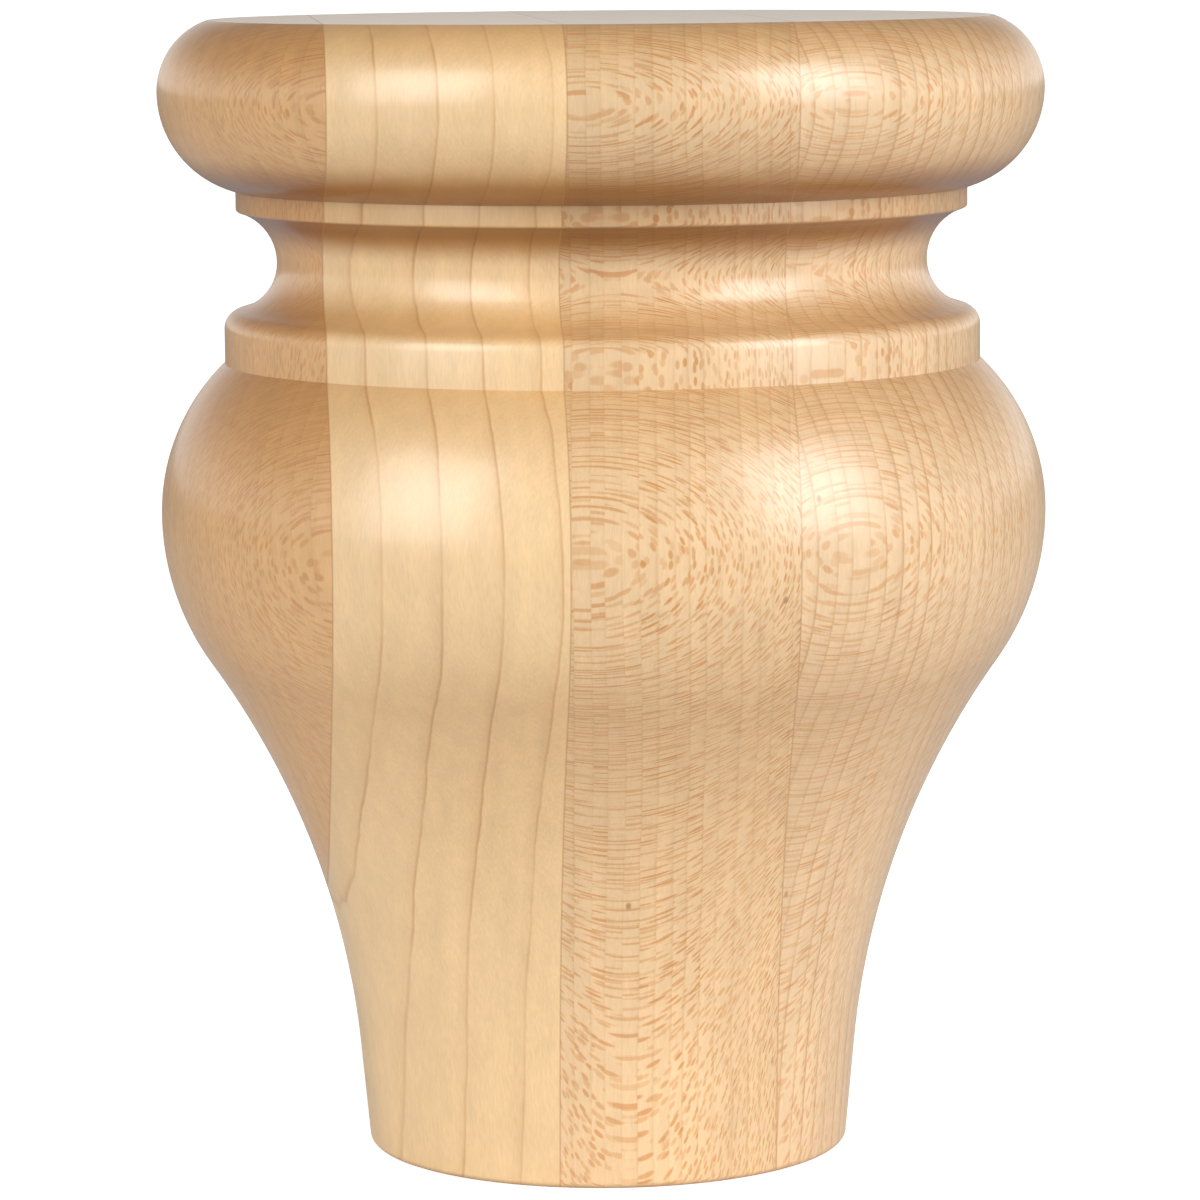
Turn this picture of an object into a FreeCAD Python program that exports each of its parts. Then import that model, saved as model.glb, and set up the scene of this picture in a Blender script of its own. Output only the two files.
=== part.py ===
import FreeCAD, Part
import math
import os

# A bun foot, turned on a lathe from a square blank of four flat-sawn boards glued face to face.
# The foot stands on the origin with its turning axis along +Z. The boards lie side by side along X,
# so the glue lines run from top to bottom on the side that faces -Y.

# Driving dimensions, in millimetres unless a name ends in deg
total_height = 114.3

# The blank is first turned to a plain cylinder, and the belly keeps its full width
turned_diameter = 89.3

# Bead under the top face, a hair inside the cylinder
bead_inset = 0.2
bead_upper_round = 7.55
bead_crown_cut = 0.4
bead_lower_round = 10.2

# Narrow band between the bead and the cove
upper_band_diameter = 73.5
upper_band_height = 2.0

# Cove
cove_diameter = 65.4
cove_upper_round = 5.4
cove_lower_round = 4.85

# Wider band on top of the belly, with a rounded top edge
lower_band_diameter = 76.1
lower_band_edge_round = 1.8
lower_band_height = 3.5

# Belly and the taper down to the floor
shoulder_round = 20.8
belly_round = 25.9
foot_diameter = 48.7
foot_taper_deg = 5.3
foot_taper_height = 9.9
floor_edge_round = 0.8

# Boards of the blank
board_thickness = 21.9
middle_glue_line_x = -6.7

board_names = ["left_outer_board", "left_inner_board", "right_inner_board", "right_outer_board"]


class Outline:
    """Half section of the turning, drawn edge by edge in the XZ plane."""

    def __init__(self, radius, height):
        self.radius = radius
        self.height = height
        self.edges = []

    def add(self, curve, radius, height):
        self.edges.append(curve.toShape())
        self.radius = radius
        self.height = height

    def line_to(self, radius, height):
        """Straight edge, left out where the outline is there already."""
        start = FreeCAD.Vector(self.radius, 0, self.height)
        end = FreeCAD.Vector(radius, 0, height)
        if start.distanceToPoint(end) > Part.Precision.confusion():
            self.add(Part.LineSegment(start, end), radius, height)

    def arc_about(self, centre_radius, centre_height, turn):
        """Arc about a centre, turned by an angle in radians, positive from +X towards +Z."""
        size = math.hypot(self.radius - centre_radius, self.height - centre_height)
        if size * abs(turn) <= Part.Precision.confusion():
            return
        start = FreeCAD.Vector(self.radius, 0, self.height)
        begin = math.atan2(self.height - centre_height, self.radius - centre_radius)

        def on_arc(angle):
            radius = centre_radius + size * math.cos(angle)
            return FreeCAD.Vector(radius, 0, centre_height + size * math.sin(angle))

        end = on_arc(begin + turn)
        self.add(Part.Arc(start, on_arc(begin + turn / 2), end), end.x, end.z)


def quarter_or_less(depth, size):
    """Turn of a round that covers a depth from where it runs upright, at most a quarter."""
    return math.acos(min(1.0, max(0.0, 1 - depth / size)))


def draw_bead(outline):
    widest = turned_diameter / 2 - bead_inset
    widest_height = total_height - (bead_upper_round - bead_crown_cut)
    upper_turn = math.asin(1 - bead_crown_cut / bead_upper_round)
    outline.line_to(widest - bead_upper_round * (1 - math.cos(upper_turn)), total_height)
    outline.arc_about(widest - bead_upper_round, widest_height, -upper_turn)
    lower_turn = quarter_or_less(widest - upper_band_diameter / 2, bead_lower_round)
    outline.arc_about(widest - bead_lower_round, widest_height, -lower_turn)


def draw_upper_band(outline):
    radius = upper_band_diameter / 2
    outline.line_to(radius, outline.height)
    outline.line_to(radius, outline.height - upper_band_height)


def draw_cove(outline):
    root = cove_diameter / 2
    upper_turn = quarter_or_less(upper_band_diameter / 2 - root, cove_upper_round)
    root_height = outline.height - cove_upper_round * math.sin(upper_turn)
    outline.line_to(root + cove_upper_round * (1 - math.cos(upper_turn)), outline.height)
    outline.arc_about(root + cove_upper_round, root_height, upper_turn)
    band_radius = lower_band_diameter / 2
    lower_turn = quarter_or_less(band_radius - root, cove_lower_round + lower_band_edge_round)
    outline.arc_about(root + cove_lower_round, root_height, lower_turn)
    outline.line_to(band_radius - lower_band_edge_round * (1 - math.cos(lower_turn)), outline.height)
    edge_height = outline.height - lower_band_edge_round * math.sin(lower_turn)
    outline.arc_about(band_radius - lower_band_edge_round, edge_height, -lower_turn)


def draw_lower_band(outline):
    outline.line_to(outline.radius, outline.height - lower_band_height)


def draw_belly_and_taper(outline):
    widest = turned_diameter / 2
    shoulder_turn = quarter_or_less(widest - lower_band_diameter / 2, shoulder_round)
    widest_height = outline.height - shoulder_round * math.sin(shoulder_turn)
    outline.line_to(widest - shoulder_round * (1 - math.cos(shoulder_turn)), outline.height)
    outline.arc_about(widest - shoulder_round, widest_height, -shoulder_turn)

    # The hollow of the neck touches both the round of the belly and the straight taper
    taper = math.radians(foot_taper_deg)
    taper_top = foot_diameter / 2 + foot_taper_height * math.tan(taper)
    belly_centre = widest - belly_round
    across = taper_top - belly_centre
    down = widest_height - foot_taper_height
    toward_hollow = across * math.cos(taper) + down * math.sin(taper)
    hollow_round = (across**2 + down**2 - belly_round**2) / (2 * (belly_round - toward_hollow))
    hollow_centre = taper_top + hollow_round * math.cos(taper)
    hollow_height = foot_taper_height - hollow_round * math.sin(taper)
    belly_turn = math.atan2(widest_height - hollow_height, hollow_centre - belly_centre)
    outline.arc_about(belly_centre, widest_height, -belly_turn)
    outline.arc_about(hollow_centre, hollow_height, belly_turn - taper)

    # The taper ends in a small round at the floor
    edge_centre = foot_diameter / 2 - floor_edge_round * (1 - math.sin(taper)) / math.cos(taper)
    edge_top = floor_edge_round * (1 - math.sin(taper))
    outline.line_to(edge_centre + floor_edge_round * math.cos(taper), edge_top)
    outline.arc_about(edge_centre, floor_edge_round, taper - math.pi / 2)


def turned_foot():
    """The whole turning as one solid of revolution."""
    outline = Outline(0, total_height)
    draw_bead(outline)
    draw_upper_band(outline)
    draw_cove(outline)
    draw_lower_band(outline)
    draw_belly_and_taper(outline)
    outline.line_to(0, 0)
    outline.line_to(0, total_height)
    section = Part.Face(Part.Wire(outline.edges))
    return section.revolve(FreeCAD.Vector(0, 0, 0), FreeCAD.Vector(0, 0, 1), 360)


def board_slab(left_face, right_face):
    """Block that one board is cut out with, deeper than the turning and as tall as the foot."""
    corner = FreeCAD.Vector(left_face, -turned_diameter, 0)
    return Part.makeBox(right_face - left_face, 2 * turned_diameter, total_height, corner)


def board_faces():
    """X of the four boards' faces from left to right, the outer two outside the turning."""
    glue_lines = [middle_glue_line_x + step * board_thickness for step in (-1, 0, 1)]
    return [-turned_diameter, *glue_lines, turned_diameter]


os.makedirs("parts", exist_ok=True)
foot = turned_foot()
faces = board_faces()
for name, left_face, right_face in zip(board_names, faces, faces[1:]):
    board = foot.common(board_slab(left_face, right_face))
    board.exportStep(f"parts/{name}.step")
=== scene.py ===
"""Looks of a bun foot: four maple boards, glued face to face, turned as one and lacquered."""

import math

import bpy
from mathutils import Matrix, Vector


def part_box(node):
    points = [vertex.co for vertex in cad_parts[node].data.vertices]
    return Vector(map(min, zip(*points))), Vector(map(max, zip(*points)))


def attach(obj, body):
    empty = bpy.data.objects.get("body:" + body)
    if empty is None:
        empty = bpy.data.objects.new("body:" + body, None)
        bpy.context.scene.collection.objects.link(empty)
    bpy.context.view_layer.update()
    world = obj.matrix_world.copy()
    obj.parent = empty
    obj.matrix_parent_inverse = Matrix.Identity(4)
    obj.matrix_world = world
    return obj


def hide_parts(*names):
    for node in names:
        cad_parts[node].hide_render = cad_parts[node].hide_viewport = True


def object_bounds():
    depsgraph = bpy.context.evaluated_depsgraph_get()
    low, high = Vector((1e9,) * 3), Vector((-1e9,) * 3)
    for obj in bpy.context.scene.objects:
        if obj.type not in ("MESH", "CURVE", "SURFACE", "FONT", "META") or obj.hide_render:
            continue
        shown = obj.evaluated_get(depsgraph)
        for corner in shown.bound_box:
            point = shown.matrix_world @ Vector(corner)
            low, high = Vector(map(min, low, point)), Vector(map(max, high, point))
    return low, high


bl_info = {
    "name": "Bun foot",
    "version": (1, 0, 0),
    "blender": (4, 5, 0),
    "location": "3D View > Sidebar > Bun foot",
    "description": "Turns a bun foot from four maple boards and sets it on a white floor",
    "category": "Object",
}

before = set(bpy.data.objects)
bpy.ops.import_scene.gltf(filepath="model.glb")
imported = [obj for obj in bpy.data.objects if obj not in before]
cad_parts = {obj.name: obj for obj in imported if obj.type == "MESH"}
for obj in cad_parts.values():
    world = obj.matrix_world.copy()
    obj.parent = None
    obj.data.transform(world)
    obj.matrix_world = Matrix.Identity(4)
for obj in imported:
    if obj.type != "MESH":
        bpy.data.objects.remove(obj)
cad_low, cad_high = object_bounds()

MM = 0.001
PER_MM = 1 / MM

BODY = "root"
OUTLINE_NAME = "turned_outline"
CUT_NAME = "cut_direction"

# Fewest steps of a round of the outline, and steps of an eased edge
ROUND_STEPS = 6
EASED_STEPS = 6

# Points of the turning that lie closer than this are one, in metres
MERGE_DISTANCE = 1e-6

# Edges that bend more than this are sharp
SHARP_ANGLE = math.radians(30)

# The slab that cuts out a board is this many times as deep and tall as the belly is wide
SLAB_REACH = 4

# Noise steps in a millimetre out from the pith, round the log and up the grain
SLOW_STRAY_STEPS = (0.04, 0.04, 0.012)
QUICK_STRAY_STEPS = (0.3, 0.3, 0.07)
FADING_STEPS = (0.12, 0.12, 0.05)
FIBRE_STEPS = (5.0, 5.0, 0.7)
MOTTLE_STEPS = (0.6, 0.6, 0.25)
CLOUD_STEPS = (0.08, 0.08, 0.03)
STREAK_STEPS = (0.5, 0.12, 0.012)
PIN_STEPS = (0.09, 0.09, 0.06)

# Noise steps in a year, which make some rings wide and some narrow
GOOD_YEAR_STEPS = (0.4, 0.0, 0.0)

# Shares of the slow and the quick waves of a ring, and the middle of their sum
SLOW_STRAY = 1.6
QUICK_STRAY = 0.4
MIDDLE_STRAY = 1.0

# Widths of a ring line before and after the year's end and of the shade before it, in millimetres
LATE_WOOD = 0.3
EARLY_WOOD = 0.12
RING_SHADE = 1.2

# Shares of the line and the shade, and how clear the faintest year and a faded place still are
LINE_SHARE = 0.7
SHADE_SHARE = 0.3
FAINTEST_YEAR = 0.55
FADED_RING = 0.5
FADING_RANGE = (0.35, 0.6)

# Shift of the rays from one block of rings to the next, along a ring and up the grain, in cells
BLOCK_SHIFT_ALONG = 17.37
BLOCK_SHIFT_UP = 9.13

# Half thickness and half height of a ray in its cell, and the share of them that is full
RAY_REACH = (0.22, 0.42, 1.0)
RAY_CORE = 0.55
FAINTEST_RAY = 0.4
FAINTEST_BLOCK = 0.65

# The short rays run through one ring each
SHORT_RAY_RINGS = 1.0
SHORT_RAY_SEED = 40.0
SHORT_RAY_SHARE = 0.8

# Edge and core of a pin mark in its cell, and how dark it is
PIN_EDGE = 0.04
PIN_CORE = 0.02
PIN_SHARE = 0.7

# Tone of the plain wood, and what each kind of noise adds to it
BASE_TONE = 0.66
FIBRE_TONE = 0.24
MOTTLE_TONE = 0.16
CLOUD_TONE = 0.12
STREAK_TONE = 0.16

# Where the end tint and the painted sheen of the rays set in and are full, as cosines of the cut's
# direction
END_CUT = (0.2, 1.0)
PAINTED_SHEEN_CUT = (0.965, 0.995)

# Length up the grain that the tone drift is given for, in millimetres
DRIFT_LENGTH = 100.0

# Gloss and relief of the grain
GRAIN_ROUGHNESS = 0.34
FIBRE_ROUGHNESS = 0.12
FIBRE_HEIGHT = 0.5
RING_HEIGHT = -0.4
RELIEF_STRENGTH = 0.05
RELIEF_DEPTH = 0.1 * MM

# How far off the sawn ends, glue lines and the painted shade in the hollows fade out and are still
# full, in millimetres
SAWN_REACH = (0.03, 0.01)
GLUE_REACH = (0.12, 0.03)
PAINTED_SHADE_REACH = (4.2, 0.6)

# Share of the painted shade on the upper band itself, and the step off the band in millimetres
BAND_PAINTED_SHADE = 0.4
CORNER_STEP = 0.15

# Upward part of a direction where the walls end and where the ceiling is full
WALL_TOP = 0.05
CEILING_EDGE = 0.4

FLOOR_ROUGHNESS = 0.9

# Camera's sensor in millimetres, and its near and far limits in metres
SENSOR_WIDTH = 36.0
CLIP_START = 0.01
CLIP_END = 100.0


def length(name, description, default):
    """Property for a size, written in millimetres."""
    return bpy.props.FloatProperty(
        name=name,
        description=description,
        default=default * MM,
        min=0.0,
        unit="LENGTH",
        precision=4,
    )


def share(name, description, default):
    """Property for a strength from none to full."""
    return bpy.props.FloatProperty(
        name=name, description=description, default=default, min=0.0, soft_max=1.0, subtype="FACTOR"
    )


def number(name, description, default):
    """Property for a plain number."""
    return bpy.props.FloatProperty(name=name, description=description, default=default, min=0.0)


def power(name, description, default):
    """Property for a lamp's power, written in watts."""
    return bpy.props.FloatProperty(
        name=name, description=description, default=default, min=0.0, unit="POWER"
    )


def angle(name, description, default):
    """Property for an angle, written in degrees."""
    return bpy.props.FloatProperty(
        name=name, description=description, default=math.radians(default), subtype="ANGLE"
    )


def colour(name, description, default):
    """Property for a colour, written as sRGB from 0 to 255."""
    return bpy.props.FloatVectorProperty(
        name=name,
        description=description,
        default=linear(default),
        size=3,
        min=0.0,
        max=1.0,
        subtype="COLOR",
    )


def linear(srgb):
    """Scene-linear colour of an sRGB colour from 0 to 255."""
    steps = [value / 255 for value in srgb]
    return tuple(s / 12.92 if s <= 0.04045 else ((s + 0.055) / 1.055) ** 2.4 for s in steps)


def opaque(tone):
    """Colour with full alpha, as a socket takes it."""
    return (*tone, 1.0)


class TurningSizes(bpy.types.PropertyGroup):
    """Sizes of the turned outline, from the top face down."""

    total_height: length("Total height", "From the floor to the top face", cad_high.z * PER_MM)
    turned_diameter: length("Turned diameter", "Width of the belly", (cad_high.y - cad_low.y) * PER_MM)
    bead_inset: length("Bead inset", "How far the bead lies inside the belly's width", 0.2)
    bead_upper_round: length("Bead upper round", "Radius of the bead above its widest place", 7.55)
    bead_crown_cut: length("Bead crown cut", "What the flat top face takes off the bead's round", 0.4)
    bead_lower_round: length("Bead lower round", "Radius of the bead below its widest place", 10.2)
    upper_band_diameter: length("Upper band diameter", "Width of the narrow band under the bead", 73.5)
    upper_band_height: length("Upper band height", "Height of the narrow band under the bead", 2.0)
    cove_diameter: length("Cove diameter", "Width at the root of the cove", 65.4)
    cove_upper_round: length("Cove upper round", "Radius of the cove above its root", 5.4)
    cove_lower_round: length("Cove lower round", "Radius of the cove below its root", 4.85)
    lower_band_diameter: length("Lower band diameter", "Width of the band on top of the belly", 76.1)
    lower_band_edge_round: length("Lower band edge round", "Radius of that band's top edge", 1.8)
    lower_band_height: length("Lower band height", "Height of that band's upright side", 3.5)
    shoulder_round: length("Shoulder round", "Radius of the belly above its widest place", 20.8)
    belly_round: length("Belly round", "Radius of the belly below its widest place", 25.9)
    foot_diameter: length("Foot diameter", "Width at the floor", 48.7)
    foot_taper: angle("Foot taper", "Slope of the straight taper above the floor", 5.3)
    foot_taper_height: length("Foot taper height", "Height of the straight taper", 9.9)
    floor_edge_round: length("Floor edge round", "Radius of the edge at the floor", 0.8)
    eased_edge: length("Eased edge", "What sanding takes off a sharp edge", 0.25)
    outline_step: length("Outline step", "Longest step along a round of the outline", 0.7)
    facets: bpy.props.IntProperty(
        name="Facets", description="Steps round the turning", default=400, min=32
    )


class BoardLook(bpy.types.PropertyGroup):
    """Grain and colours of one board."""

    radial_turn: angle("Radial turn", "Turn of the direction across the rings, from the face normal", 0)
    ring_tilt: angle("Ring tilt", "Lean of the rings from upright", 0)
    fibre_lean: angle("Fibre lean", "Lean of the fibres round the log", 0)
    pith_distance: length("Pith distance", "From the middle of the log to the foot's axis", 200.0)
    ring_width: length("Ring width", "Distance between two growth rings", 4.0)
    ring_start: length("Ring start", "From the foot's axis to a ring line, away from the pith", 0.0)
    ring_strength: share("Ring strength", "How dark the ring lines are", 0.5)
    ring_wander: length("Ring wander", "How far a ring strays from its plane", 1.0)
    ring_unevenness: number("Ring unevenness", "How much the rings differ in width", 1.5)
    ray_strength: share("Ray strength", "How clearly the rays show", 0.5)
    ray_spacing: length("Ray spacing", "From ray to ray along a ring", 0.22)
    ray_height: length("Ray height", "From ray to ray up the grain", 1.35)
    ray_rings: number("Ray rings", "How many rings the long rays run through", 4.0)
    # Painted sheen: the wood is made paler where it is cut along the rays, standing in for their lustre
    ray_lustre: share("Ray painted sheen", "How much paler the wood is where it is cut along the rays", 0.06)
    tone_drift: share("Tone drift", "How much darker the wood gets over 100 mm up the grain", 0.0)
    wood: colour("Wood", "Colour between the rings", (236, 204, 158))
    ring_tone: colour("Ring tone", "Colour of the ring lines", (196, 148, 96))
    ray_tone: colour("Ray tone", "Colour of the rays", (205, 150, 92))
    pin_tone: colour("Pin tone", "Colour of the pin marks", (150, 98, 52))
    end_tone: colour("End tone", "Tint of the wood where it is cut across the fibres", (229, 212, 186))


class FinishLook(bpy.types.PropertyGroup):
    """Lacquer, glue lines, sawn ends and the painted shade in the hollows."""

    lacquer: share("Lacquer", "How much the lacquer on the turned surface shines", 0.6)
    lacquer_roughness: share("Lacquer roughness", "How dull the lacquer is", 0.2)
    # Painted shade: tint that darkens the hollows above and below the upper band
    painted_shade_tone: colour("Painted shade tone", "Tint of the lacquer where it gathers", (186, 153, 100))
    glue_tone: colour("Glue tone", "Colour of the glue lines", (170, 120, 72))
    glue_share: share("Glue share", "How clearly the glue lines show", 0.5)
    sawn_tone: colour("Sawn tone", "Colour of the bare wood at the sawn ends", (252, 245, 234))
    sawn_share: share("Sawn share", "How far the sawn ends take that colour", 0.75)
    sawn_roughness: share("Sawn roughness", "How dull the sawn ends are", 0.5)


class StudioLook(bpy.types.PropertyGroup):
    """Camera, lamps and floor."""

    camera_place: bpy.props.FloatVectorProperty(
        name="Camera place",
        description="Where the camera stands",
        default=(-43.78 * MM, -533.98 * MM, 123.64 * MM),
        subtype="TRANSLATION",
        unit="LENGTH",
    )
    camera_azimuth: angle("Camera azimuth", "Turn of the camera about the upright axis", -4.64)
    camera_pitch: angle("Camera pitch", "How far the camera looks down", 7.262)
    camera_roll: angle("Camera roll", "Turn of the camera about its own line of sight", -0.427)
    camera_lens: bpy.props.FloatProperty(
        name="Lens",
        description="Focal length in millimetres",
        default=159.47,
        subtype="DISTANCE_CAMERA",
    )
    left_lamp_azimuth: angle("Left lamp azimuth", "Turn of the left soft box from the front", -52)
    right_lamp_azimuth: angle("Right lamp azimuth", "Turn of the right soft box from the front", 51)
    lamp_elevation: angle("Lamp elevation", "Height of both soft boxes above the horizon", 25)
    lamp_distance: length("Lamp distance", "From the foot to a soft box", 800)
    lamp_width: length("Lamp width", "Width of a soft box", 440)
    lamp_spread: angle("Lamp spread", "How wide a soft box throws its light", 76)
    lamp_height: length("Lamp height", "Height of a soft box", 620)
    left_lamp_power: power("Left lamp power", "Power of the left soft box", 0.88)
    right_lamp_power: power("Right lamp power", "Power of the right soft box", 1.19)
    wall_light: share("Wall light", "Strength of the room's light at the horizon", 0.95)
    ceiling_light: share("Ceiling light", "Strength of the room's light overhead", 0.2)
    floor_size: length("Floor size", "Width of the floor", 40000)
    floor_white: share("Floor white", "Colour of the floor", 0.8)
    floor_glow: share("Floor glow", "White added round the foot where the camera sees the floor", 0.68)
    far_glow: share("Far glow", "White added farther out, where the lamps don't reach", 1.0)
    glow_start: length("Glow start", "From the foot to where the added white begins to change", 150)
    glow_end: length("Glow end", "From the foot to where the far glow is full", 800)


class Wiring:
    """Adds nodes to one node tree and joins them."""

    def __init__(self, tree):
        self.tree = tree

    def join(self, socket, value):
        """Links an output to a socket, or sets the socket to a value."""
        if isinstance(value, bpy.types.NodeSocket):
            self.tree.links.new(value, socket)
        else:
            socket.default_value = value

    def node(self, kind, inputs=None, **settings):
        made = self.tree.nodes.new(kind)
        for name, value in settings.items():
            setattr(made, name, value)
        for key, value in (inputs or {}).items():
            self.join(made.inputs[key], value)
        return made

    def math(self, operation, *values):
        made = self.node("ShaderNodeMath", dict(enumerate(values)), operation=operation)
        return made.outputs[0]

    def vector(self, operation, *values):
        made = self.node("ShaderNodeVectorMath", dict(enumerate(values)), operation=operation)
        return made.outputs[0]

    def distance(self, vector):
        """Length of a vector."""
        made = self.node("ShaderNodeVectorMath", {0: vector}, operation="LENGTH")
        return made.outputs["Value"]

    def split(self, vector):
        return self.node("ShaderNodeSeparateXYZ", {0: vector}).outputs

    def compose(self, x, y, z):
        return self.node("ShaderNodeCombineXYZ", {0: x, 1: y, 2: z}).outputs[0]

    def weighted(self, *parts):
        """Sum of values that come with a weight each."""
        total, *others = [self.math("MULTIPLY", value, weight) for value, weight in parts]
        for other in others:
            total = self.math("ADD", total, other)
        return total

    def step(self, value, low, high):
        """Smooth step from 0 at low to 1 at high."""
        inputs = {"Value": value, "From Min": low, "From Max": high}
        made = self.node("ShaderNodeMapRange", inputs, interpolation_type="SMOOTHSTEP")
        return made.outputs["Result"]

    def blend(self, factor, low, high, blend_type="MIX"):
        """Mix of two colours."""
        inputs = {0: factor, 6: low, 7: high}
        made = self.node("ShaderNodeMix", inputs, data_type="RGBA", blend_type=blend_type)
        return made.outputs[2]

    def between(self, factor, low, high):
        """Mix of two values."""
        made = self.node("ShaderNodeMix", {0: factor, 2: low, 3: high}, data_type="FLOAT")
        return made.outputs[0]

    def noise(self, place, steps, detail=2.0):
        """Noise with its own number of steps along each axis."""
        scaled = self.vector("MULTIPLY", place, steps)
        inputs = {"Vector": scaled, "Scale": 1.0, "Detail": detail}
        return self.node("ShaderNodeTexNoise", inputs).outputs[0]

    def chance(self, count):
        """Value from 0 to 1 that is fixed for each whole number."""
        made = self.node("ShaderNodeTexWhiteNoise", {"W": count}, noise_dimensions="1D")
        return made.outputs["Value"]


def new_group(name, kind, inputs, outputs):
    """Node group with its sockets, as wiring, group input and group output."""
    tree = bpy.data.node_groups.new(name, kind)
    for in_out, sockets in (("INPUT", inputs), ("OUTPUT", outputs)):
        for socket_name, kind_of_socket in sockets.items():
            socket_type = "NodeSocket" + kind_of_socket
            tree.interface.new_socket(name=socket_name, in_out=in_out, socket_type=socket_type)
    wiring = Wiring(tree)
    return wiring, wiring.node("NodeGroupInput").outputs, wiring.node("NodeGroupOutput").inputs


class Outline:
    """Half section of the turning, as points in the XZ plane from the top face down to the floor."""

    def __init__(self, height, step):
        self.points = [Vector((0, 0, height))]
        self.corners = []
        self.step = step

    @property
    def radius(self):
        return self.points[-1].x

    @property
    def height(self):
        return self.points[-1].z

    def line_to(self, radius, height):
        self.points.append(Vector((radius, 0, height)))

    def arc_about(self, centre_radius, centre_height, turn):
        """Arc about a centre, turned by an angle that is positive from +X towards +Z."""
        size = math.hypot(self.radius - centre_radius, self.height - centre_height)
        begin = math.atan2(self.height - centre_height, self.radius - centre_radius)
        steps = max(ROUND_STEPS, math.ceil(size * abs(turn) / self.step))
        for count in range(1, steps + 1):
            at = begin + turn * count / steps
            self.line_to(centre_radius + size * math.cos(at), centre_height + size * math.sin(at))

    def mark_corner(self):
        self.corners.append(self.points[-1])

    def ease_corners(self, size):
        """Rounds the marked corners by a small curve."""
        for corner in self.corners:
            at = self.points.index(corner)
            before = [p for p in self.points[:at] if (p - corner).length > size]
            after = [p for p in self.points[at + 1:] if (p - corner).length > size]
            start = corner + (before[-1] - corner).normalized() * size
            end = corner + (after[0] - corner).normalized() * size
            shares = [count / EASED_STEPS for count in range(EASED_STEPS + 1)]
            curve = [start * (1 - t) ** 2 + corner * 2 * t * (1 - t) + end * t**2 for t in shares]
            self.points = before + curve + after


def quarter_or_less(depth, size):
    """Turn of a round that covers a depth from where it runs upright, at most a quarter."""
    return math.acos(min(1.0, max(0.0, 1 - depth / size)))


def draw_bead(outline, sizes):
    """Top face and bead, down to the upper band."""
    upper_round = sizes.bead_upper_round
    lower_round = sizes.bead_lower_round
    widest = sizes.turned_diameter / 2 - sizes.bead_inset
    widest_height = sizes.total_height - (upper_round - sizes.bead_crown_cut)
    upper_turn = math.asin(1 - sizes.bead_crown_cut / upper_round)
    outline.line_to(widest - upper_round * (1 - math.cos(upper_turn)), sizes.total_height)
    outline.mark_corner()
    outline.arc_about(widest - upper_round, widest_height, -upper_turn)
    lower_turn = quarter_or_less(widest - sizes.upper_band_diameter / 2, lower_round)
    outline.arc_about(widest - lower_round, widest_height, -lower_turn)


def draw_bands_and_cove(outline, sizes):
    """Upper band, cove and lower band, down to the belly."""
    outline.line_to(outline.radius, outline.height - sizes.upper_band_height)
    outline.mark_corner()
    root = sizes.cove_diameter / 2
    upper_round = sizes.cove_upper_round
    upper_turn = quarter_or_less(sizes.upper_band_diameter / 2 - root, upper_round)
    root_height = outline.height - upper_round * math.sin(upper_turn)
    outline.arc_about(root + upper_round, root_height, upper_turn)
    lower_round = sizes.cove_lower_round
    edge_round = sizes.lower_band_edge_round
    band_radius = sizes.lower_band_diameter / 2
    lower_turn = quarter_or_less(band_radius - root, lower_round + edge_round)
    outline.arc_about(root + lower_round, root_height, lower_turn)
    edge_height = outline.height - edge_round * math.sin(lower_turn)
    outline.arc_about(band_radius - edge_round, edge_height, -lower_turn)
    outline.line_to(outline.radius, outline.height - sizes.lower_band_height)


def draw_belly_and_taper(outline, sizes):
    """Belly, neck, taper and floor edge."""
    widest = sizes.turned_diameter / 2
    shoulder_turn = quarter_or_less(widest - outline.radius, sizes.shoulder_round)
    widest_height = outline.height - sizes.shoulder_round * math.sin(shoulder_turn)
    outline.arc_about(widest - sizes.shoulder_round, widest_height, -shoulder_turn)

    # The hollow of the neck touches both the round of the belly and the straight taper
    taper = sizes.foot_taper
    taper_height = sizes.foot_taper_height
    taper_top = sizes.foot_diameter / 2 + taper_height * math.tan(taper)
    belly_round = sizes.belly_round
    belly_centre = widest - belly_round
    across = taper_top - belly_centre
    down = widest_height - taper_height
    toward_hollow = across * math.cos(taper) + down * math.sin(taper)
    hollow_round = (across**2 + down**2 - belly_round**2) / (2 * (belly_round - toward_hollow))
    hollow_centre = taper_top + hollow_round * math.cos(taper)
    hollow_height = taper_height - hollow_round * math.sin(taper)
    belly_turn = math.atan2(widest_height - hollow_height, hollow_centre - belly_centre)
    outline.arc_about(belly_centre, widest_height, -belly_turn)
    outline.arc_about(hollow_centre, hollow_height, belly_turn - taper)

    # The taper ends in a small round at the floor
    edge = sizes.floor_edge_round
    edge_centre = sizes.foot_diameter / 2 - edge * (1 - math.sin(taper)) / math.cos(taper)
    outline.line_to(edge_centre + edge * math.cos(taper), edge * (1 - math.sin(taper)))
    outline.arc_about(edge_centre, edge, taper - math.pi / 2)


def turned_outline(sizes):
    """Points of the half section, with its sharp edges eased."""
    outline = Outline(sizes.total_height, sizes.outline_step)
    draw_bead(outline, sizes)
    draw_bands_and_cove(outline, sizes)
    draw_belly_and_taper(outline, sizes)
    outline.line_to(0, 0)
    outline.ease_corners(sizes.eased_edge)
    return outline.points


def upper_band_top(sizes):
    """Height of the corner where the bead meets the upper band."""
    outline = Outline(sizes.total_height, sizes.outline_step)
    draw_bead(outline, sizes)
    return outline.height


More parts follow.
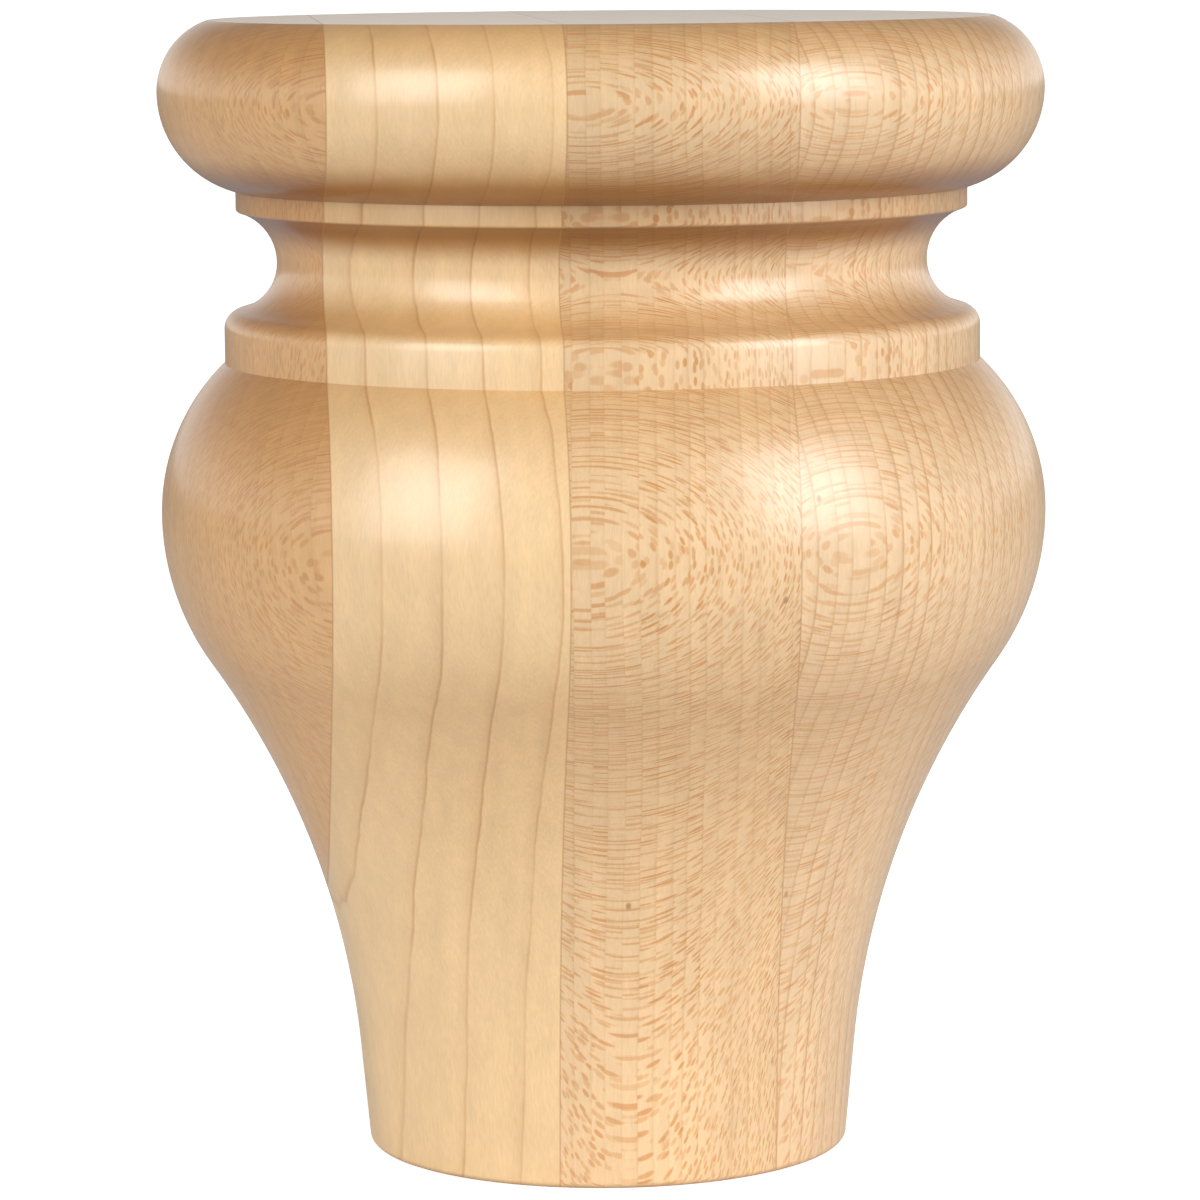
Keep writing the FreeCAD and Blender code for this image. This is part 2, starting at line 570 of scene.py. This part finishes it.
def add_turning(wiring, given):
    """The whole turning: a sheet with one row for each point of the outline, wound round the axis."""
    rows = wiring.node("GeometryNodeAttributeDomainSize", {0: given["Outline"]}).outputs["Point Count"]
    columns = wiring.math("ADD", given["Facets"], 1)
    grid = wiring.node("GeometryNodeMeshGrid", {"Vertices X": rows, "Vertices Y": columns})
    index = wiring.node("GeometryNodeInputIndex").outputs[0]
    row = wiring.math("FLOOR", wiring.math("DIVIDE", index, columns))
    column = wiring.math("SUBTRACT", index, wiring.math("MULTIPLY", row, columns))
    sampled = wiring.node("GeometryNodeSampleIndex", data_type="FLOAT_VECTOR")
    wiring.join(sampled.inputs["Geometry"], given["Outline"])
    wiring.join(sampled.inputs["Value"], wiring.node("GeometryNodeInputPosition").outputs[0])
    wiring.join(sampled.inputs["Index"], row)
    radius, _, height = wiring.split(sampled.outputs[0])
    turn = wiring.math("MULTIPLY", wiring.math("DIVIDE", column, given["Facets"]), math.tau)
    x = wiring.math("MULTIPLY", radius, wiring.math("COSINE", turn))
    y = wiring.math("MULTIPLY", radius, wiring.math("SINE", turn))
    wound = wiring.node("GeometryNodeSetPosition", {"Geometry": grid.outputs["Mesh"]})
    wiring.join(wound.inputs["Position"], wiring.compose(x, y, height))
    merged = wiring.node("GeometryNodeMergeByDistance", {"Geometry": wound.outputs[0]})
    wiring.join(merged.inputs["Distance"], MERGE_DISTANCE)
    return merged.outputs[0]


def add_slab(wiring, given):
    """The slab that one board is cut out with, as wide as the board's two faces lie apart."""
    width = wiring.math("SUBTRACT", given["Right face"], given["Left face"])
    middle = wiring.math("MULTIPLY", wiring.math("ADD", given["Right face"], given["Left face"]), 0.5)
    size = wiring.compose(width, given["Depth"], given["Depth"])
    block = wiring.node("GeometryNodeMeshCube", {"Size": size})
    slab = wiring.node("GeometryNodeTransform", {"Geometry": block.outputs["Mesh"]})
    wiring.join(slab.inputs["Translation"], wiring.compose(middle, 0.0, 0.0))
    return slab.outputs[0]


def turned_board_tree():
    """Geometry Nodes tree that spins an outline and keeps what lies between two glue lines."""
    inputs = {
        "Outline": "Geometry",
        "Facets": "Int",
        "Left face": "Float",
        "Right face": "Float",
        "Depth": "Float",
        "Sharp angle": "Float",
        "Material": "Material",
    }
    outputs = {"Board": "Geometry"}
    wiring, given, result = new_group("Turned board", "GeometryNodeTree", inputs, outputs)
    wiring.tree.is_modifier = True
    cut = wiring.node("GeometryNodeMeshBoolean", operation="INTERSECT", solver="EXACT")
    wiring.join(cut.inputs["Mesh 2"], add_turning(wiring, given))
    wiring.join(cut.inputs["Mesh 2"], add_slab(wiring, given))

    # Faces are smooth, apart from the edges of the end faces, the glue faces and the bands
    smooth = wiring.node("GeometryNodeSetShadeSmooth", {"Geometry": cut.outputs["Mesh"]}, domain="FACE")
    bend = wiring.node("GeometryNodeInputMeshEdgeAngle").outputs["Unsigned Angle"]
    sharp = wiring.node("FunctionNodeCompare", {0: bend}, operation="GREATER_THAN")
    wiring.join(sharp.inputs[1], given["Sharp angle"])
    edges = wiring.node("GeometryNodeSetShadeSmooth", {"Geometry": smooth.outputs[0]}, domain="EDGE")
    wiring.join(edges.inputs["Selection"], sharp.outputs[0])
    wiring.join(edges.inputs["Shade Smooth"], False)

    # The material needs to know how the cut lies to the fibres
    marked = wiring.node("GeometryNodeStoreNamedAttribute", data_type="FLOAT_VECTOR", domain="CORNER")
    wiring.join(marked.inputs["Geometry"], edges.outputs[0])
    wiring.join(marked.inputs["Name"], CUT_NAME)
    wiring.join(marked.inputs["Value"], wiring.node("GeometryNodeInputNormal").outputs["Normal"])
    real = wiring.node("GeometryNodeRealizeInstances", {"Geometry": marked.outputs[0]})
    painted = wiring.node("GeometryNodeSetMaterial", {"Geometry": real.outputs[0]})
    wiring.join(painted.inputs["Material"], given["Material"])
    wiring.join(result["Board"], painted.outputs[0])
    return wiring.tree


def add_log(wiring, given):
    """Place in the log: X out from the pith, Y round it and Z up the grain, from the foot's axis."""
    x, y, z = wiring.split(given["Place"])
    x = wiring.math("ADD", x, given["Pith distance"])
    from_pith = wiring.distance(wiring.compose(x, y, 0.0))
    out = wiring.math("SUBTRACT", from_pith, given["Pith distance"])
    around = wiring.math("MULTIPLY", wiring.math("ARCTAN2", y, x), given["Pith distance"])
    return wiring.compose(out, around, z)


def add_years(wiring, place, given):
    """Count of the growth rings, with a whole number at each ring line."""
    slow = wiring.noise(place, SLOW_STRAY_STEPS)
    quick = wiring.noise(place, QUICK_STRAY_STEPS)
    stray = wiring.weighted((slow, SLOW_STRAY), (quick, QUICK_STRAY))
    stray = wiring.math("SUBTRACT", stray, MIDDLE_STRAY)
    stray = wiring.math("MULTIPLY", stray, given["Ring wander"])
    from_start = wiring.math("SUBTRACT", wiring.split(place)[0], given["Ring start"])
    across = wiring.math("ADD", from_start, stray)
    years = wiring.math("DIVIDE", across, given["Ring width"])
    good_years = wiring.noise(wiring.compose(years, 0.0, 0.0), GOOD_YEAR_STEPS)
    return wiring.math("ADD", years, wiring.math("MULTIPLY", good_years, given["Ring unevenness"]))


def add_rings(wiring, place, years, given):
    """Ring lines with the soft shade before them, fainter in some years and faded in places."""
    season = wiring.math("FRACT", years)
    to_line = wiring.math("MULTIPLY", wiring.math("SUBTRACT", 1.0, season), given["Ring width"])
    from_line = wiring.math("MULTIPLY", season, given["Ring width"])
    late = wiring.step(to_line, LATE_WOOD, 0.0)
    early = wiring.step(from_line, EARLY_WOOD, 0.0)
    line = wiring.math("MAXIMUM", late, early)
    shade = wiring.step(to_line, RING_SHADE, 0.0)
    ring = wiring.weighted((line, LINE_SHARE), (shade, SHADE_SHARE))
    year = wiring.chance(wiring.math("FLOOR", years))
    ring = wiring.math("MULTIPLY", ring, wiring.between(year, FAINTEST_YEAR, 1.0))
    fading = wiring.step(wiring.noise(place, FADING_STEPS), *FADING_RANGE)
    ring = wiring.math("MULTIPLY", ring, wiring.between(fading, FADED_RING, 1.0))
    return wiring.math("MULTIPLY", ring, given["Ring strength"])


def add_rays(wiring, place, years, given, rings, seed):
    """Rays that run through a block of rings: thin sheets, taller up the grain than they are thick."""
    block = wiring.math("FLOOR", wiring.math("ADD", wiring.math("DIVIDE", years, rings), seed))
    _, along, up = wiring.split(place)
    along = wiring.math("DIVIDE", along, given["Ray spacing"])
    up = wiring.math("DIVIDE", up, given["Ray height"])
    along = wiring.math("ADD", along, wiring.math("MULTIPLY", block, BLOCK_SHIFT_ALONG))
    up = wiring.math("ADD", up, wiring.math("MULTIPLY", block, BLOCK_SHIFT_UP))
    cells = wiring.compose(along, up, 0.0)
    inputs = {"Vector": cells, "Scale": 1.0}
    voronoi = wiring.node("ShaderNodeTexVoronoi", inputs, voronoi_dimensions="2D")
    offset = wiring.vector("SUBTRACT", cells, voronoi.outputs["Position"])
    reach = wiring.distance(wiring.vector("DIVIDE", offset, RAY_REACH))
    chance = wiring.split(voronoi.outputs["Color"])[0]
    clear = wiring.chance(block)
    ray = wiring.step(reach, 1.0, RAY_CORE)
    ray = wiring.math("MULTIPLY", ray, wiring.between(chance, FAINTEST_RAY, 1.0))
    return wiring.math("MULTIPLY", ray, wiring.between(clear, FAINTEST_BLOCK, 1.0))


def add_pins(wiring, place):
    """Pin marks: small dark specks, far apart, a little longer up the grain."""
    cells = wiring.vector("MULTIPLY", place, PIN_STEPS)
    voronoi = wiring.node("ShaderNodeTexVoronoi", {"Vector": cells, "Scale": 1.0})
    offset = wiring.vector("SUBTRACT", cells, voronoi.outputs["Position"])
    pin = wiring.step(wiring.distance(offset), PIN_EDGE, PIN_CORE)
    return wiring.math("MULTIPLY", pin, PIN_SHARE)


def add_tone(wiring, place, fibre):
    """Tone of the plain wood. Mottle is about a ring wide, clouds are slow and streaks run upwards."""
    mottle = wiring.noise(place, MOTTLE_STEPS)
    cloud = wiring.noise(place, CLOUD_STEPS)
    streak = wiring.noise(place, STREAK_STEPS)
    added = wiring.weighted(
        (fibre, FIBRE_TONE), (mottle, MOTTLE_TONE), (cloud, CLOUD_TONE), (streak, STREAK_TONE)
    )
    return wiring.math("ADD", added, BASE_TONE)


def add_cut(wiring, given):
    """Masks of the wood that is cut across its fibres, and of the wood cut along its rays, which gets a
    painted sheen.
    """
    _, cut_y, cut_z = wiring.split(given["Cut"])
    level = wiring.math("MULTIPLY", cut_y, wiring.math("SINE", given["Fibre lean"]))
    upright = wiring.math("MULTIPLY", cut_z, wiring.math("COSINE", given["Fibre lean"]))
    across_fibres = wiring.math("ABSOLUTE", wiring.math("ADD", level, upright))
    along_rays = wiring.math("ABSOLUTE", cut_y)
    return wiring.step(across_fibres, *END_CUT), wiring.step(along_rays, *PAINTED_SHEEN_CUT)


def maple_figure_group():
    """Colour, roughness and height of maple from a place on the foot, in millimetres.

    X runs across the growth rings, away from the pith, and Z up the grain.
    """
    inputs = {
        "Place": "Vector",
        "Cut": "Vector",
        "Fibre lean": "Float",
        "Pith distance": "Float",
        "Ring width": "Float",
        "Ring start": "Float",
        "Ring strength": "Float",
        "Ring wander": "Float",
        "Ring unevenness": "Float",
        "Ray strength": "Float",
        "Ray spacing": "Float",
        "Ray height": "Float",
        "Ray rings": "Float",
        "Ray painted sheen": "Float",
        "Tone drift": "Float",
        "Wood": "Color",
        "Ring tone": "Color",
        "Ray tone": "Color",
        "Pin tone": "Color",
        "End tone": "Color",
    }
    outputs = {"Color": "Color", "Roughness": "Float", "Height": "Float"}
    wiring, given, result = new_group("Maple figure", "ShaderNodeTree", inputs, outputs)
    place = add_log(wiring, given)
    years = add_years(wiring, place, given)
    ring = add_rings(wiring, place, years, given)
    long_rays = add_rays(wiring, place, years, given, given["Ray rings"], 0.0)
    short_rays = add_rays(wiring, place, years, given, SHORT_RAY_RINGS, SHORT_RAY_SEED)
    ray = wiring.math("MAXIMUM", long_rays, wiring.math("MULTIPLY", short_rays, SHORT_RAY_SHARE))
    ray = wiring.math("MULTIPLY", ray, given["Ray strength"])
    fibre = wiring.noise(place, FIBRE_STEPS, detail=3.0)
    end_cut, painted_sheen_mask = add_cut(wiring, given)

    wood = wiring.blend(ring, given["Wood"], given["Ring tone"])
    wood = wiring.blend(ray, wood, given["Ray tone"])
    wood = wiring.blend(add_pins(wiring, place), wood, given["Pin tone"])
    wood = wiring.blend(end_cut, wood, given["End tone"], "MULTIPLY")

    # The tone is raised by a painted sheen where the wood is cut along the rays, and falls up the grain
    # by the drift
    tone = add_tone(wiring, place, fibre)
    lustre = wiring.math("MULTIPLY", painted_sheen_mask, given["Ray painted sheen"])
    tone = wiring.math("MULTIPLY", tone, wiring.math("ADD", 1.0, lustre))
    up = wiring.math("DIVIDE", wiring.split(place)[2], DRIFT_LENGTH)
    drift = wiring.math("MULTIPLY", up, given["Tone drift"])
    tone = wiring.math("MULTIPLY", tone, wiring.math("SUBTRACT", 1.0, drift))
    toned = wiring.blend(1.0, wood, wiring.compose(tone, tone, tone), "MULTIPLY")
    wiring.join(result["Color"], toned)
    fibre_roughness = wiring.math("MULTIPLY", fibre, FIBRE_ROUGHNESS)
    wiring.join(result["Roughness"], wiring.math("ADD", GRAIN_ROUGHNESS, fibre_roughness))
    wiring.join(result["Height"], wiring.weighted((fibre, FIBRE_HEIGHT), (ring, RING_HEIGHT)))
    return wiring.tree


def ends_glue_and_shade_group():
    """Masks of the sawn ends, glue lines and the painted shade in the hollows, from a place on the foot
    in millimetres.
    """
    names = ("Top", "Left face", "Right face", "Band top", "Band foot")
    inputs = {"Place": "Vector", **dict.fromkeys(names, "Float")}
    outputs = dict.fromkeys(("Sawn end", "Glue line", "Painted shade"), "Float")
    group_name = "Ends, glue lines and painted shade"
    wiring, given, result = new_group(group_name, "ShaderNodeTree", inputs, outputs)
    x, _, z = wiring.split(given["Place"])
    top = wiring.step(wiring.math("SUBTRACT", given["Top"], z), *SAWN_REACH)
    base = wiring.step(z, *SAWN_REACH)
    wiring.join(result["Sawn end"], wiring.math("MAXIMUM", top, base))
    left = wiring.math("ABSOLUTE", wiring.math("SUBTRACT", x, given["Left face"]))
    right = wiring.math("ABSOLUTE", wiring.math("SUBTRACT", x, given["Right face"]))
    nearest = wiring.math("MINIMUM", left, right)
    wiring.join(result["Glue line"], wiring.step(nearest, *GLUE_REACH))

    # Painted shade: the colour is darkest in the corners above and below the upper band, where shade
    # falls
    above = wiring.math("SUBTRACT", z, given["Band top"])
    below = wiring.math("SUBTRACT", given["Band foot"], z)
    off_band = wiring.math("MAXIMUM", above, below)
    in_corner = wiring.between(wiring.step(off_band, 0.0, CORNER_STEP), BAND_PAINTED_SHADE, 1.0)
    near_band = wiring.step(off_band, *PAINTED_SHADE_REACH)
    wiring.join(result["Painted shade"], wiring.math("MULTIPLY", in_corner, near_band))
    return wiring.tree


def add_figure(wiring, place, look, tree):
    """Figure of one board, with its place and its cut turned to the log that the board comes from.

    The inputs of the group that are named like a property of the board take its value.
    """
    turn = (0, look.ring_tilt, -look.radial_turn)
    in_log = wiring.node("ShaderNodeMapping", {"Vector": place, "Rotation": turn})
    wiring.join(in_log.inputs["Scale"], (PER_MM, PER_MM, PER_MM))
    cut = wiring.node("ShaderNodeAttribute", attribute_name=CUT_NAME).outputs["Vector"]
    cut_in_log = wiring.node("ShaderNodeMapping", vector_type="VECTOR")
    wiring.join(cut_in_log.inputs["Vector"], cut)
    wiring.join(cut_in_log.inputs["Rotation"], turn)
    figure = wiring.node("ShaderNodeGroup", node_tree=tree)
    wiring.join(figure.inputs["Place"], in_log.outputs[0])
    wiring.join(figure.inputs["Cut"], cut_in_log.outputs[0])
    for setting in look.bl_rna.properties:
        if setting.name not in figure.inputs:
            continue
        value = getattr(look, setting.identifier)
        if setting.unit == "LENGTH":
            value = value * PER_MM
        elif setting.subtype == "COLOR":
            value = opaque(value)
        wiring.join(figure.inputs[setting.name], value)
    return figure.outputs


def add_ends_glue_and_shade(wiring, place, places, tree):
    """Masks of one board's ends, glue lines and the painted shade in its hollows."""
    in_mm = wiring.node("ShaderNodeVectorMath", {0: place, "Scale": PER_MM}, operation="SCALE")
    ends_glue_and_shade = wiring.node("ShaderNodeGroup", {"Place": in_mm.outputs[0]}, node_tree=tree)
    for socket_name, at in places.items():
        wiring.join(ends_glue_and_shade.inputs[socket_name], at * PER_MM)
    return ends_glue_and_shade.outputs


def maple_material(name, look, finish, groups, places):
    """Lacquered maple of one board, with painted shade in its hollows and a painted sheen along its
    rays. The places are those that the masks of the ends, glue lines and painted shade need.
    """
    material = bpy.data.materials.new(name)
    material.use_nodes = True
    wiring = Wiring(material.node_tree)
    shader = material.node_tree.nodes["Principled BSDF"].inputs
    place = wiring.node("ShaderNodeTexCoord").outputs["Object"]
    figure = add_figure(wiring, place, look, groups["figure"])
    ends_glue_and_shade = add_ends_glue_and_shade(wiring, place, places, groups["ends_glue_and_shade"])
    sawn = ends_glue_and_shade["Sawn end"]

    # Painted shade: the colour is darkened in the hollows by the upper band
    deep = wiring.blend(ends_glue_and_shade["Painted shade"], figure["Color"], opaque(finish.painted_shade_tone), "MULTIPLY")
    bare = wiring.blend(finish.sawn_share, figure["Color"], opaque(finish.sawn_tone))
    wood = wiring.blend(sawn, deep, bare)
    glue = wiring.math("MULTIPLY", ends_glue_and_shade["Glue line"], finish.glue_share)
    wiring.join(shader["Base Color"], wiring.blend(glue, wood, opaque(finish.glue_tone)))
    wiring.join(shader["Roughness"], wiring.between(sawn, figure["Roughness"], finish.sawn_roughness))
    lacquered = wiring.math("SUBTRACT", 1.0, sawn)
    wiring.join(shader["Coat Weight"], wiring.math("MULTIPLY", lacquered, finish.lacquer))
    shader["Coat Roughness"].default_value = finish.lacquer_roughness
    relief = wiring.node("ShaderNodeBump", {"Strength": RELIEF_STRENGTH, "Distance": RELIEF_DEPTH})
    wiring.join(relief.inputs["Height"], figure["Height"])
    wiring.join(shader["Normal"], relief.outputs[0])
    return material


def baked_piece(name, source, tree, values):
    """Plain mesh object made by a Geometry Nodes tree from a source mesh."""
    carrier = bpy.data.objects.new(name + "_carrier", source)
    bpy.context.scene.collection.objects.link(carrier)
    modifier = carrier.modifiers.new(tree.name, "NODES")
    modifier.node_group = tree
    for item in tree.interface.items_tree:
        if item.in_out == "INPUT" and item.name in values:
            modifier[item.identifier] = values[item.name]
    bpy.context.view_layer.update()
    evaluated = carrier.evaluated_get(bpy.context.evaluated_depsgraph_get())
    mesh = bpy.data.meshes.new_from_object(evaluated)
    bpy.data.objects.remove(carrier)
    mesh.name = name
    piece = bpy.data.objects.new(name, mesh)
    bpy.context.scene.collection.objects.link(piece)
    return piece


class BUNFOOT_OT_turn_boards(bpy.types.Operator):
    """Turn the four boards and give each its grain"""

    bl_idname = "bun_foot.turn_boards"
    bl_label = "Turn the boards"
    bl_options = {"REGISTER", "UNDO"}

    def execute(self, context):
        sizes = context.scene.bun_foot_turning
        finish = context.scene.bun_foot_finish
        points = turned_outline(sizes)
        source = bpy.data.meshes.new(OUTLINE_NAME)
        source.from_pydata(points, [(n, n + 1) for n in range(len(points) - 1)], [])
        tree = turned_board_tree()
        groups = {"figure": maple_figure_group(), "ends_glue_and_shade": ends_glue_and_shade_group()}
        band_top = upper_band_top(sizes)
        for look in context.scene.bun_foot_boards:
            # A board's face is a glue line, unless it lies at the side of the turning
            low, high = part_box(look.name)
            outside = sizes.turned_diameter
            left_face = low.x if low.x > cad_low.x + MM else -outside
            right_face = high.x if high.x < cad_high.x - MM else outside
            places = {
                "Top": sizes.total_height,
                "Left face": left_face,
                "Right face": right_face,
                "Band top": band_top,
                "Band foot": band_top - sizes.upper_band_height,
            }
            material = maple_material(look.name + "_maple", look, finish, groups, places)
            values = {
                "Facets": sizes.facets,
                "Left face": left_face,
                "Right face": right_face,
                "Depth": SLAB_REACH * sizes.turned_diameter,
                "Sharp angle": SHARP_ANGLE,
                "Material": material,
            }
            board = baked_piece(look.name + "_turned", source, tree, values)
            if not board.data.polygons:
                raise RuntimeError(f"{look.name} has no faces")
            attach(board, BODY)
            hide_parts(look.name)
        bpy.data.meshes.remove(source)
        return {"FINISHED"}


def floor_material(studio):
    """White floor that takes the foot's shadow and looks white to the camera."""
    material = bpy.data.materials.new("white_floor")
    material.use_nodes = True
    wiring = Wiring(material.node_tree)
    shader = material.node_tree.nodes["Principled BSDF"].inputs
    white = studio.floor_white
    shader["Base Color"].default_value = opaque((white, white, white))
    shader["Roughness"].default_value = FLOOR_ROUGHNESS
    shader["Specular IOR Level"].default_value = 0.0
    shader["Emission Color"].default_value = (1, 1, 1, 1)
    seen = wiring.node("ShaderNodeLightPath").outputs["Is Camera Ray"]
    away = wiring.distance(wiring.node("ShaderNodeTexCoord").outputs["Object"])
    far = wiring.step(away, studio.glow_start, studio.glow_end)
    glow = wiring.between(far, studio.floor_glow, studio.far_glow)
    wiring.join(shader["Emission Strength"], wiring.math("MULTIPLY", seen, glow))
    return material


def make_floor(studio):
    """Wide floor that the foot stands on."""
    half = studio.floor_size / 2
    corners = [(-half, -half, 0), (half, -half, 0), (half, half, 0), (-half, half, 0)]
    mesh = bpy.data.meshes.new("floor")
    mesh.from_pydata(corners, [], [(0, 1, 2, 3)])
    mesh.materials.append(floor_material(studio))
    floor = bpy.data.objects.new("floor", mesh)
    bpy.context.scene.collection.objects.link(floor)


def make_world(studio):
    """Pale walls under a dim ceiling. The camera sees the walls as plain white."""
    world = bpy.data.worlds.new("white_room")
    world.use_nodes = True
    wiring = Wiring(world.node_tree)
    background = world.node_tree.nodes["Background"].inputs
    background["Color"].default_value = (1, 1, 1, 1)
    seen = wiring.node("ShaderNodeLightPath").outputs["Is Camera Ray"]
    up = wiring.split(wiring.node("ShaderNodeTexCoord").outputs["Generated"])[2]
    wall = wiring.between(seen, studio.wall_light, 1.0)
    overhead = wiring.step(up, WALL_TOP, CEILING_EDGE)
    wiring.join(background["Strength"], wiring.between(overhead, wall, studio.ceiling_light))
    bpy.context.scene.world = world


def make_lamp(name, studio, azimuth, watts, aim):
    """Soft box that looks at the place where the foot stands."""
    lamp = bpy.data.lights.new(name, "AREA")
    lamp.shape = "RECTANGLE"
    lamp.size = studio.lamp_width
    lamp.size_y = studio.lamp_height
    lamp.energy = watts
    lamp.spread = studio.lamp_spread
    level = math.cos(studio.lamp_elevation)
    rise = math.sin(studio.lamp_elevation)
    direction = Vector((math.sin(azimuth) * level, -math.cos(azimuth) * level, rise))
    holder = bpy.data.objects.new(name, lamp)
    holder.location = aim + direction * studio.lamp_distance
    holder.rotation_euler = (-direction).to_track_quat("-Z", "Y").to_euler()
    bpy.context.scene.collection.objects.link(holder)


def make_camera(studio):
    """Camera that stands where the front view is taken from."""
    lens = bpy.data.cameras.new("camera")
    lens.lens = studio.camera_lens
    lens.sensor_width = SENSOR_WIDTH
    lens.clip_start = CLIP_START
    lens.clip_end = CLIP_END
    camera = bpy.data.objects.new("camera", lens)
    pan = Matrix.Rotation(studio.camera_azimuth, 4, "Z")
    tip = Matrix.Rotation(math.pi / 2 - studio.camera_pitch, 4, "X")
    roll = Matrix.Rotation(studio.camera_roll, 4, "Z")
    camera.matrix_world = Matrix.Translation(studio.camera_place) @ pan @ tip @ roll
    bpy.context.scene.collection.objects.link(camera)
    bpy.context.scene.camera = camera


class BUNFOOT_OT_set_stage(bpy.types.Operator):
    """Set up the floor, the room light, two soft boxes and the camera"""

    bl_idname = "bun_foot.set_stage"
    bl_label = "Set the stage"
    bl_options = {"REGISTER", "UNDO"}

    def execute(self, context):
        studio = context.scene.bun_foot_studio
        make_floor(studio)
        make_world(studio)
        aim = Vector((0, 0, cad_low.z))
        make_lamp("left_soft_box", studio, studio.left_lamp_azimuth, studio.left_lamp_power, aim)
        make_lamp("right_soft_box", studio, studio.right_lamp_azimuth, studio.right_lamp_power, aim)
        make_camera(studio)
        context.scene.view_settings.view_transform = "Standard"
        return {"FINISHED"}


class BUNFOOT_PT_sidebar(bpy.types.Panel):
    """Sizes, boards, finish and studio of the bun foot"""

    bl_idname = "BUNFOOT_PT_sidebar"
    bl_label = "Bun foot"
    bl_space_type = "VIEW_3D"
    bl_region_type = "UI"
    bl_category = "Bun foot"

    def draw(self, context):
        layout = self.layout
        layout.operator(BUNFOOT_OT_turn_boards.bl_idname)
        layout.operator(BUNFOOT_OT_set_stage.bl_idname)
        scene = context.scene
        boards = list(scene.bun_foot_boards)
        for group in (scene.bun_foot_turning, *boards, scene.bun_foot_finish, scene.bun_foot_studio):
            box = layout.box()
            box.label(text=group.name or type(group).__doc__)
            for name in type(group).__annotations__:
                box.prop(group, name)


CLASSES = (
    TurningSizes,
    BoardLook,
    FinishLook,
    StudioLook,
    BUNFOOT_OT_turn_boards,
    BUNFOOT_OT_set_stage,
    BUNFOOT_PT_sidebar,
)


def register():
    for cls in CLASSES:
        bpy.utils.register_class(cls)
    bpy.types.Scene.bun_foot_turning = bpy.props.PointerProperty(type=TurningSizes)
    bpy.types.Scene.bun_foot_boards = bpy.props.CollectionProperty(type=BoardLook)
    bpy.types.Scene.bun_foot_finish = bpy.props.PointerProperty(type=FinishLook)
    bpy.types.Scene.bun_foot_studio = bpy.props.PointerProperty(type=StudioLook)


def unregister():
    del bpy.types.Scene.bun_foot_studio
    del bpy.types.Scene.bun_foot_finish
    del bpy.types.Scene.bun_foot_boards
    del bpy.types.Scene.bun_foot_turning
    for cls in reversed(CLASSES):
        bpy.utils.unregister_class(cls)


def add_board(boards, name, **values):
    """Adds one board's look, given in millimetres, degrees and sRGB colours from 0 to 255."""
    look = boards.add()
    look.name = name
    for key, value in values.items():
        setting = look.bl_rna.properties[key]
        if setting.unit == "LENGTH":
            value = value * MM
        elif setting.subtype == "ANGLE":
            value = math.radians(value)
        elif setting.subtype == "COLOR":
            value = linear(value)
        setattr(look, key, value)


def describe_boards(boards):
    """The four boards from left to right, as the grain of each one shows."""
    add_board(
        boards,
        "left_outer_board",
        radial_turn=-27.0,
        ring_tilt=6.0,
        fibre_lean=-12.0,
        pith_distance=190.0,
        ring_width=2.6,
        ring_strength=0.35,
        ray_strength=0.8,
        # Painted sheen where this board is cut along its rays
        ray_lustre=0.34,
        wood=(212, 168, 117),
        ring_tone=(180, 130, 78),
        ray_tone=(184, 122, 60),
    )
    add_board(
        boards,
        "left_inner_board",
        radial_turn=8.2,
        ring_tilt=0.29,
        pith_distance=3000.0,
        ring_width=5.0,
        ring_start=1.75,
        ring_strength=0.9,
        ring_wander=1.4,
        ring_unevenness=0.0,
        ray_strength=0.12,
        wood=(229, 195, 147),
        ring_tone=(190, 140, 88),
    )
    add_board(
        boards,
        "right_inner_board",
        radial_turn=9.0,
        pith_distance=161.0,
        ring_width=1.6,
        ring_strength=0.4,
        ray_strength=1.0,
        tone_drift=0.12,
        wood=(226, 192, 148),
        ring_tone=(192, 147, 97),
        ray_tone=(198, 132, 64),
        end_tone=(235, 221, 199),
    )
    add_board(
        boards,
        "right_outer_board",
        radial_turn=40.5,
        pith_distance=200.0,
        ring_width=2.0,
        ring_strength=0.85,
        ray_strength=0.85,
        wood=(222, 190, 150),
        ring_tone=(186, 140, 90),
        ray_tone=(198, 133, 66),
    )


def main():
    register()
    describe_boards(bpy.context.scene.bun_foot_boards)
    bpy.ops.bun_foot.turn_boards()
    bpy.ops.bun_foot.set_stage()


if __name__ == "__main__":
    main()
